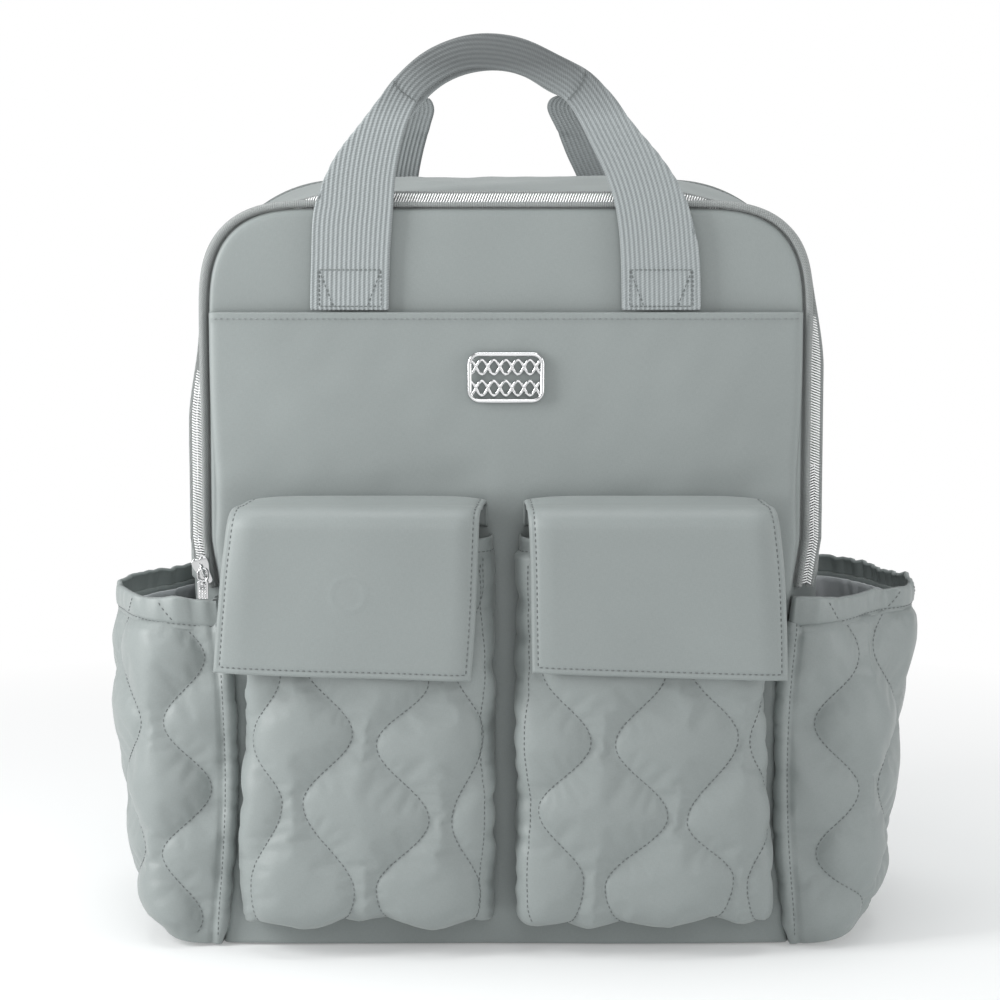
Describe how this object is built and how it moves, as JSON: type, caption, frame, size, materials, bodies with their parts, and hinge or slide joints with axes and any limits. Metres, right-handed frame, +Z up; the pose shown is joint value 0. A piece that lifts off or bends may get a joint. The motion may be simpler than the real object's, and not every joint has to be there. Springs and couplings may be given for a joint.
{
  "type": "diaper bag",
  "caption": "Upright diaper backpack with a fold-down zipped front, flapped cargo pockets, elastic side pockets, top handles and shoulder straps.",
  "frame": {"origin": "under the middle of the base, on the surface that the bag stands on", "axes": "+X to the right seen from the front, +Y from the front towards the wearer's back, +Z up"},
  "size_m": [0.4156, 0.2504, 0.4642],
  "materials": {
    "shell_fabric": "matte sage-grey woven nylon with a faint sheen",
    "quilted_fabric": "the same nylon, padded and quilted in wavy lines",
    "lining_fabric": "light grey polyester lining",
    "webbing": "ribbed grey webbing",
    "zip_tape": "woven grey zip tape",
    "zip_metal": "bright silver zip teeth",
    "nickel": "polished nickel plate",
    "mesh_fabric": "padded spacer mesh",
    "board": "stiff plastic board",
    "magnet": "plated steel disc magnet"
  },
  "bodies": {
    "bag": {"base_panel": "shell_fabric", "base_board": "board", "front_lower_panel": "shell_fabric", "slip_pocket_lower": "shell_fabric", "side_gusset_left": "shell_fabric", "side_gusset_right": "shell_fabric", "upper_gusset": "shell_fabric", "back_panel": "shell_fabric", "back_mesh_pad": "mesh_fabric", "main_lining": "lining_fabric", "inner_pocket": "lining_fabric", "zip_tape_gusset": "zip_tape", "zip_teeth_gusset": "zip_metal", "zip_tape_lower_left": "zip_tape", "zip_tape_lower_right": "zip_tape", "side_pocket_left": "quilted_fabric", "side_pocket_right": "quilted_fabric", "side_pocket_hem_left": "quilted_fabric", "side_pocket_hem_right": "quilted_fabric", "side_pocket_lining_left": "lining_fabric", "side_pocket_lining_right": "lining_fabric", "cargo_pocket_left": "quilted_fabric", "cargo_pocket_right": "quilted_fabric", "pocket_magnet_left": "magnet", "pocket_magnet_right": "magnet", "strap_yoke": "shell_fabric", "strap_pad_left": "shell_fabric", "strap_pad_right": "shell_fabric", "strap_webbing_left": "webbing", "strap_webbing_right": "webbing", "strap_ring_left": "nickel", "strap_ring_right": "nickel", "strap_anchor_tab_left": "shell_fabric", "strap_anchor_tab_right": "shell_fabric", "rear_handle_anchor_left": "webbing", "rear_handle_anchor_right": "webbing"},
    "lid": {"front_upper_panel": "shell_fabric", "slip_pocket_upper": "shell_fabric", "lid_lining": "lining_fabric", "zip_tape_lid": "zip_tape", "zip_teeth_lid": "zip_metal", "badge": "nickel", "badge_backing_plate": "nickel", "front_handle_anchor_left": "webbing", "front_handle_anchor_right": "webbing"},
    "front_grip": {"front_handle": "webbing"},
    "rear_grip": {"rear_handle": "webbing"},
    "left_flap": {"flap_left": "shell_fabric", "flap_magnet_left": "magnet"},
    "right_flap": {"flap_right": "shell_fabric", "flap_magnet_right": "magnet"},
    "slider": {"zip_slider": "nickel"},
    "pull": {"zip_pull": "nickel"},
    "left_triglide": {"triglide_left": "nickel"},
    "right_triglide": {"triglide_right": "nickel"}
  },
  "joints": [
    {"name": "lid_fold", "type": "hinge", "parent": "bag", "child": "lid", "pos_m": [0, -0.089, 0.247], "axis": [1, 0, 0], "range_deg": [0, 75]},
    {"name": "front_handle_swing", "type": "hinge", "parent": "lid", "child": "front_grip", "pos_m": [0, -0.0841, 0.3901], "axis": [1, 0, 0], "range_deg": [-30, 120]},
    {"name": "rear_handle_swing", "type": "hinge", "parent": "bag", "child": "rear_grip", "pos_m": [0, 0.0876, 0.3955], "axis": [-1, 0, 0], "range_deg": [-30, 100]},
    {"name": "left_flap_lift", "type": "hinge", "parent": "bag", "child": "left_flap", "pos_m": [-0.075, -0.0912, 0.2315], "axis": [1, 0, 0], "range_deg": [-95, 0]},
    {"name": "right_flap_lift", "type": "hinge", "parent": "bag", "child": "right_flap", "pos_m": [0.075, -0.0912, 0.2315], "axis": [1, 0, 0], "range_deg": [-95, 0]},
    {"name": "slider_travel", "type": "slide", "parent": "bag", "child": "slider", "axis": [-0.017, 0, 0.9999], "range_m": [0, 0.1]},
    {"name": "pull_swing", "type": "hinge", "parent": "slider", "child": "pull", "pos_m": [-0.1535, -0.0863, 0.194], "axis": [1, 0, 0], "range_deg": [-150, 0]},
    {"name": "left_triglide_travel", "type": "slide", "parent": "bag", "child": "left_triglide", "axis": [0.2238, 0.2022, 0.9534], "range_m": [-0.018, 0.018]},
    {"name": "right_triglide_travel", "type": "slide", "parent": "bag", "child": "right_triglide", "axis": [-0.2238, 0.2022, 0.9534], "range_m": [-0.018, 0.018]}
  ]
}
